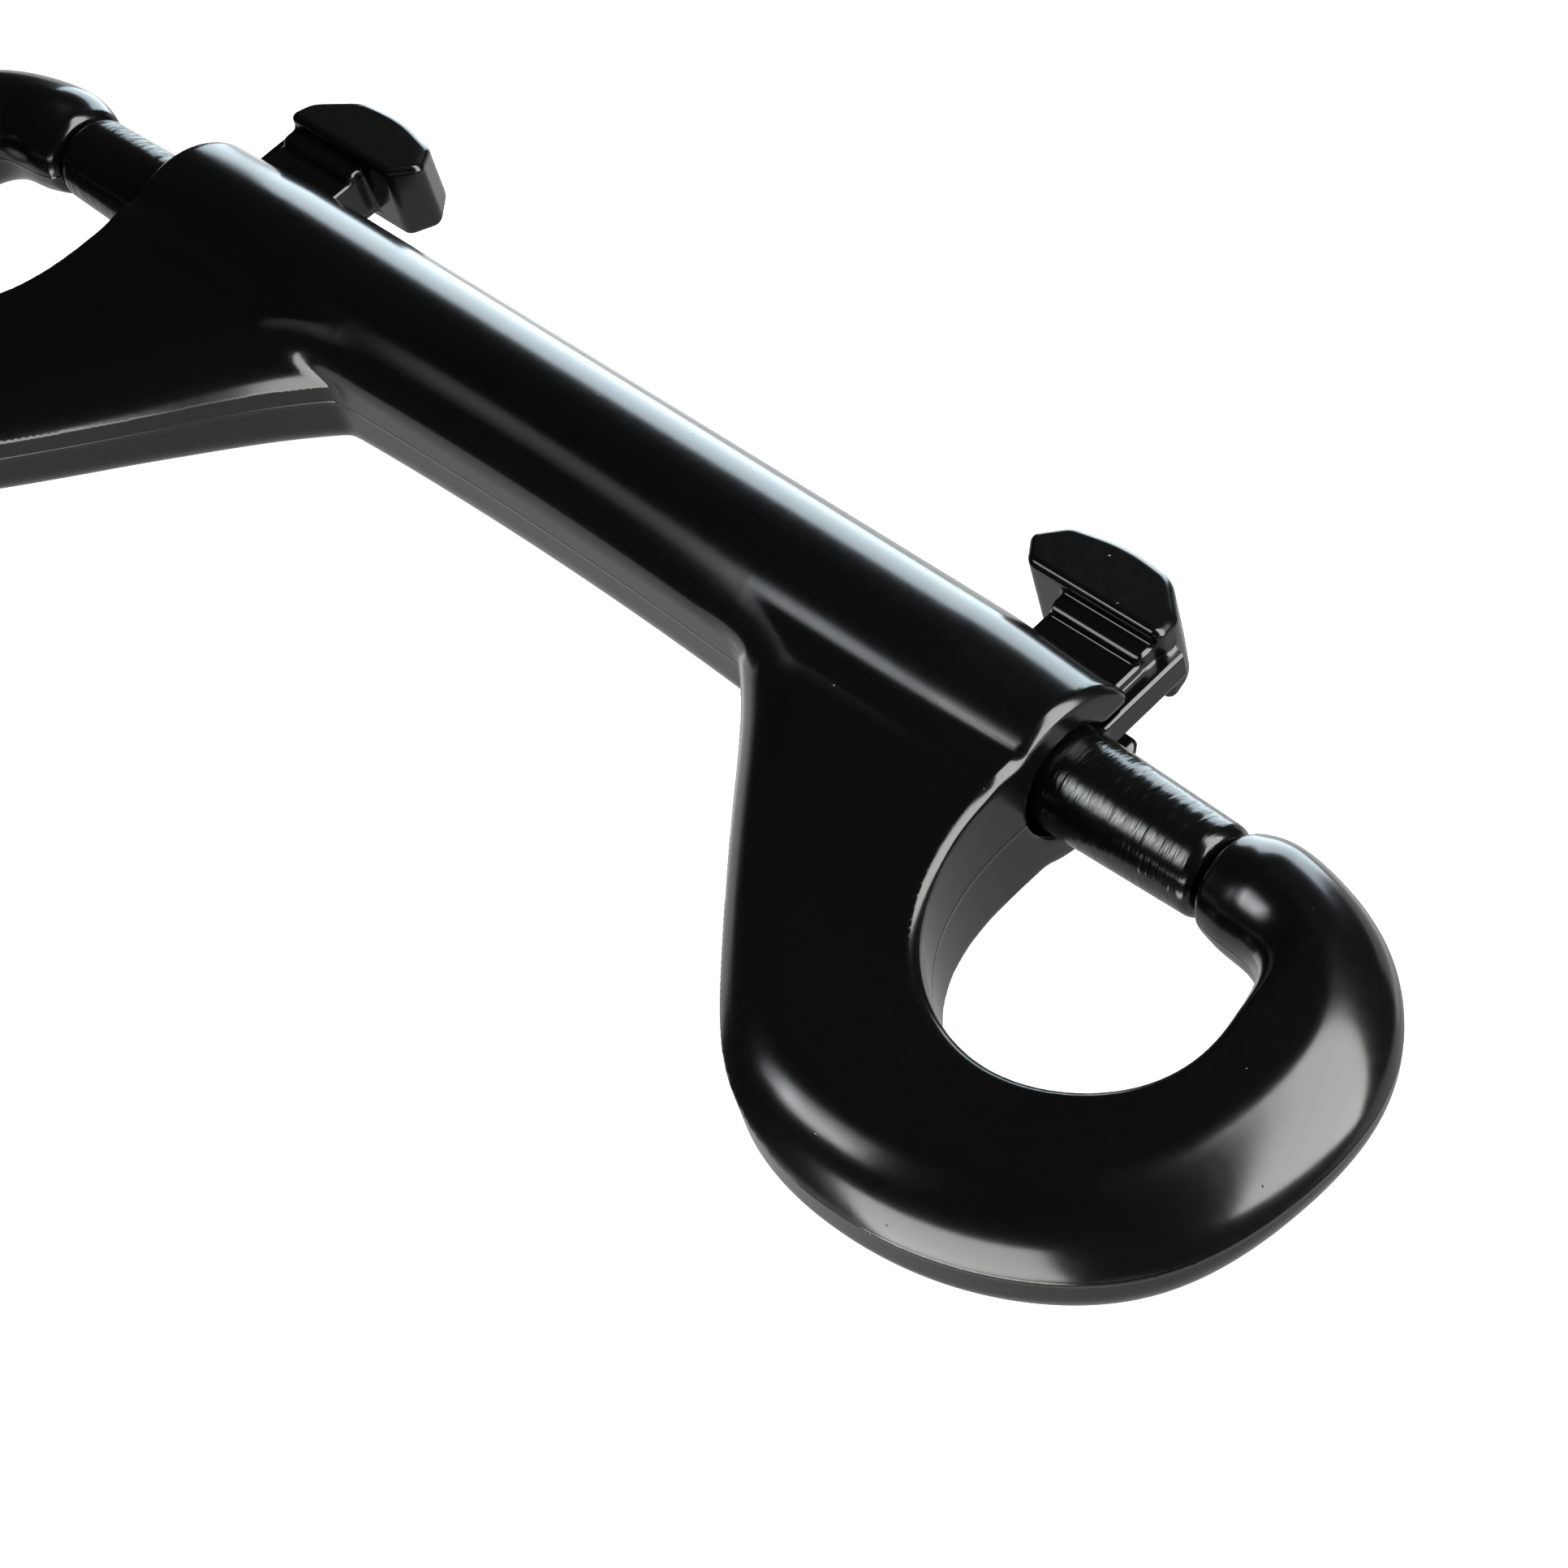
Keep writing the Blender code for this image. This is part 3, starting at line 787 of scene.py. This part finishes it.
def enamel_material(name, looks, turned=False):
    """Black enamel with a deep gloss, slow waves, fine peel and a few grains, over the casting's
    parting line or the rings of a turned bolt."""
    shader = Shader(name)
    place = shader.place()
    waves = shader.noise(place, WAVE_SIZE)
    peel = shader.noise(place, PEEL_SIZE, FINE)
    sockets = {"Vector": place, "Scale": 1 / GRAIN_GAP}
    grains = shader.node("ShaderNodeTexVoronoi", {"feature": "F1"}, sockets)
    speck = shader.fade(grains, 0.0, GRAIN_SHARE)
    height = waves * looks.ripple + peel * looks.peel + speck * looks.speck
    if turned:
        rings = shader.noise(place, RING_SIZE, FINE, RING_STRETCH)
        above = shader.along(place, 1) - float(AXIS[1])
        on_pin = shader.fade(above, BOLT_RADIUS, BOLT_RADIUS + RING_FADE)
        height = height + rings * on_pin * looks.rings
    else:
        level = shader.along(place, 2) - float(AXIS[2])
        away = shader.node("ShaderNodeMath", {"operation": "ABSOLUTE"}, {0: level})
        height = height + shader.fade(away, 0.0, looks.seam_half) * looks.seam
    sockets = {"Height": height, "Distance": 1.0, "Strength": 1.0}
    normal = shader.node("ShaderNodeBump", {}, sockets)
    thin = shader.noise(place, THIN_SIZE, FINER)
    shade = shader.mix(thin, opaque(looks.enamel), opaque(looks.enamel_warm))
    rough = looks.enamel_roughness + PEEL_ROUGHNESS * peel
    return shader.finish(Base_Color=shade, Roughness=rough, Normal=normal)


def wire_material(looks):
    """Bright drawn spring wire, with fine marks along it."""
    shader = Shader("spring_wire")
    marks = shader.noise(shader.place(), DRAW_SIZE, FINE, DRAW_STRETCH)
    shade = shader.mix(marks, opaque(looks.wire), opaque(DRAW_COLOUR))
    rough = WIRE_ROUGHNESS + DRAW_ROUGHNESS * marks
    return shader.finish(Base_Color=shade, Roughness=rough, Metallic=1.0)


def dress(piece, material, body, slot, *nodes):
    """Gives a piece its material, the body it rides on and the CAD nodes it stands for."""
    piece.data.materials.append(material)
    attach(piece, body)
    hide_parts(*nodes)


# ---------------------------------------------------------------------------- stage

FLOOR_HALF, FLOOR_DROP, FLOOR_ROUGHNESS = 2.0, 0.02 * MM, 0.9
FULL_SPREAD = 180
NEAREST_VIEW = 0.01

# The camera's place in millimetres from the middle of the barrel's axis, and its ways to the
# right, down and ahead.
CAMERA_PLACE = (138.06, -73.99, 156.48)
CAMERA_WAYS = ((0.687, 0.695, -0.213), (0.463, -0.644, -0.609), (-0.560, 0.319, -0.764))

# Each soft box: its name, its middle, the way from the snap square to it, the way along its
# height, its width and height, its brightness, its tint and its spread in degrees.
SOFT_BOXES = (
    ("tall_box", (0.194, 0.394, 0.864), (0.77, 0.63, 0.12), (-0.38, 0.29, 0.88),
     (0.436, 2.09), 10.0, (1.0, 0.995, 0.97), FULL_SPREAD),
    ("back_box", (-0.509, 0.818, -0.048), (-0.70, 0.69, 0.19), (0.0, 0.0, 1.0),
     (0.60, 0.66), 5.8, (0.80, 0.95, 1.03), FULL_SPREAD),
    ("front_box", (0.045, -0.32, -0.045), (0.0, -1.0, 0.0), (-0.14, 0.0, 1.0),
     (0.26, 0.24), 8.0, (1.0, 1.0, 0.98), FULL_SPREAD),
    ("near_box", (-0.008, -0.038, 0.045), (-0.555, -0.525, 0.64), (0.35, 0.94, 0.0),
     (0.024, 0.036), 9.5, (0.93, 1.0, 1.03), 35),
    ("bolt_box", (0.012, -0.037, 0.045), (-0.50, -0.545, 0.675), (0.31, 0.95, 0.0),
     (0.018, 0.044), 11.0, (0.97, 1.0, 1.01), 38),
    ("far_box", (-0.035, -0.033, 0.045), (-0.61, -0.45, 0.65), (0.35, 0.94, 0.0),
     (0.030, 0.022), 1.2, (0.93, 1.0, 1.03), 28),
    ("under_box", (0.0, 0.0, -0.5), (0.0, 0.0, -1.0), (0.0, 1.0, 0.0),
     (1.8, 1.8), 0.54, (1.0, 1.0, 1.0), FULL_SPREAD),
    ("low_box", (-0.33, 1.03, -0.5), (-0.28, 0.86, -0.42), (0.0, 0.0, 1.0),
     (1.2, 0.7), 0.55, (1.0, 1.0, 1.0), FULL_SPREAD),
    ("side_box", (-1.0, 0.25, -0.42), (-0.89, 0.22, -0.37), (0.0, 0.0, 1.0),
     (1.0, 0.65), 0.9, (1.0, 1.0, 1.0), FULL_SPREAD),
)


def soft_box(name, middle, outward, upward, size, brightness, tint, spread):
    """A soft light, as bright on its axis as its number says, that isn't seen itself."""
    lamp = bpy.data.lights.new(name, "AREA")
    lamp.shape = "RECTANGLE"
    lamp.size, lamp.size_y = size
    lamp.spread = math.radians(spread)
    lamp.energy = math.pi * size[0] * size[1] * brightness
    if spread < FULL_SPREAD:
        lamp.energy *= 1 - lamp.spread / 2 / math.tan(lamp.spread / 2)
    lamp.color = tint
    light = bpy.data.objects.new(name, lamp)
    back = Vector(outward).normalized()
    across = Vector(upward).cross(back).normalized()
    turn = Matrix((across, back.cross(across), back)).transposed()
    light.matrix_world = Matrix.Translation(Vector(middle) + Vector(AXIS)) @ turn.to_4x4()
    light.visible_camera = False
    bpy.context.scene.collection.objects.link(light)


# ---------------------------------------------------------------------------- operators


class SNAP_OT_casting(bpy.types.Operator):
    """Build the cast barrel with a hook at each end"""

    bl_idname = "snap.casting"
    bl_label = "Casting"

    def execute(self, context):
        scene = context.scene
        field = casting_field(scene.snap_barrel, scene.snap_hook)
        step = CASTING_STEP
        margin = 2 * step
        low = (-step / 2, BODY_LOW[1] - AXIS[1] - margin, -BARREL_RADIUS - margin)
        high = (BODY_HIGH[0] + margin, BARREL_RADIUS + margin, BARREL_RADIUS + margin)
        piece = skin("casting", field, low, high, step, halved=True)
        material = enamel_material("cast_enamel", scene.snap_finish)
        dress(piece, material, "body", "black_enamel", "body")
        return {"FINISHED"}


class SNAP_OT_bolts(bpy.types.Operator):
    """Build the two sliding bolts with their thumb triggers"""

    bl_idname = "snap.bolts"
    bl_label = "Bolts"

    def execute(self, context):
        scene = context.scene
        field = bolt_field(scene.snap_barrel, scene.snap_trigger)
        step = BOLT_STEP
        margin = 2 * step
        low = np.array(BOLT_LOW) - AXIS - margin
        high = np.array(BOLT_HIGH) - AXIS + margin
        right = skin("thumb_bolt_right", field, low, high, step)
        left = turned_about(right, "thumb_bolt_left")
        material = enamel_material("bolt_enamel", scene.snap_finish, turned=True)
        for piece, side in ((right, "right"), (left, "left")):
            dress(piece, material, f"{side}_bolt", "black_enamel", f"{side}_bolt")
        return {"FINISHED"}


class SNAP_OT_springs(bpy.types.Operator):
    """Build the two springs that push the bolts shut"""

    bl_idname = "snap.springs"
    bl_label = "Springs"

    def execute(self, context):
        scene = context.scene
        right = spring_piece("coil_spring_right", scene.snap_spring)
        left = turned_about(right, "coil_spring_left")
        material = wire_material(scene.snap_finish)
        for piece, side, sign in ((right, "right", 1), (left, "left", -1)):
            dress(piece, material, "body", "spring_steel", f"{side}_spring")
            travel = next(j for j in frame["joints"] if j["name"] == f"{side}_bolt_slide")
            full = SPRING_HIGH[0] - SPRING_LOW[0]
            keep = 1 - travel["range_m"][1] / full
            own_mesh(piece)
        return {"FINISHED"}


class SNAP_OT_stage(bpy.types.Operator):
    """Set the floor, the soft lights and the camera"""

    bl_idname = "snap.stage"
    bl_label = "Stage"

    def execute(self, context):
        looks = context.scene.snap_stage
        self.floor(looks)
        self.lights(looks)
        self.camera(looks)
        context.scene.view_settings.view_transform = "Standard"
        return {"FINISHED"}

    def floor(self, looks):
        corners = np.array([(-1, -1, 0), (1, -1, 0), (1, 1, 0), (-1, 1, 0)]) * FLOOR_HALF
        floor = piece_of("floor", corners - (0.0, 0.0, FLOOR_DROP), np.array([(0, 1, 2, 3)]))
        shader = Shader("pale_floor")
        paint = shader.finish(
            Base_Color=opaque(looks.floor),
            Roughness=FLOOR_ROUGHNESS,
            Emission_Color=opaque(looks.floor),
            Emission_Strength=looks.floor_glow,
        )
        floor.data.materials.append(paint)
        floor.visible_glossy = False
        floor.visible_shadow = False

    def lights(self, looks):
        world = bpy.data.worlds.new("studio")
        bpy.context.scene.world = world
        world.use_nodes = True
        background = world.node_tree.nodes["Background"]
        background.inputs["Color"].default_value = opaque(looks.surroundings)
        for box in SOFT_BOXES:
            soft_box(*box)

    def camera(self, looks):
        camera = bpy.data.objects.new("camera", bpy.data.cameras.new("camera"))
        bpy.context.scene.collection.objects.link(camera)
        place = Vector(CAMERA_PLACE) * MM + Vector(AXIS)
        right, down, ahead = (Vector(way).normalized() for way in CAMERA_WAYS)
        turn = Matrix((right, -down, -ahead)).transposed()
        camera.matrix_world = Matrix.Translation(place) @ turn.to_4x4()
        camera.data.lens = looks.lens
        camera.data.clip_start = NEAREST_VIEW
        bpy.context.scene.camera = camera


class SNAP_PT_panel(bpy.types.Panel):
    """Lists the steps that build the snap"""

    bl_idname = "SNAP_PT_panel"
    bl_label = "Bolt Snap"
    bl_space_type = "VIEW_3D"
    bl_region_type = "UI"
    bl_category = "Bolt Snap"

    def draw(self, context):
        for operator in OPERATORS:
            self.layout.operator(operator.bl_idname)


OPERATORS = (SNAP_OT_casting, SNAP_OT_bolts, SNAP_OT_springs, SNAP_OT_stage)
GROUPS = {
    "snap_barrel": BarrelSizes,
    "snap_hook": HookSizes,
    "snap_trigger": TriggerSizes,
    "snap_spring": SpringSizes,
    "snap_finish": FinishLooks,
    "snap_stage": StageLooks,
}


def register():
    for group in (*GROUPS.values(), *OPERATORS, SNAP_PT_panel):
        bpy.utils.register_class(group)
    for name, group in GROUPS.items():
        setattr(bpy.types.Scene, name, bpy.props.PointerProperty(type=group))


def unregister():
    for name in GROUPS:
        delattr(bpy.types.Scene, name)
    for group in (SNAP_PT_panel, *reversed(OPERATORS), *reversed(list(GROUPS.values()))):
        bpy.utils.unregister_class(group)


def main():
    register()
    bpy.ops.snap.casting()
    bpy.ops.snap.bolts()
    bpy.ops.snap.springs()
    bpy.ops.snap.stage()


if __name__ == "__main__":
    main()
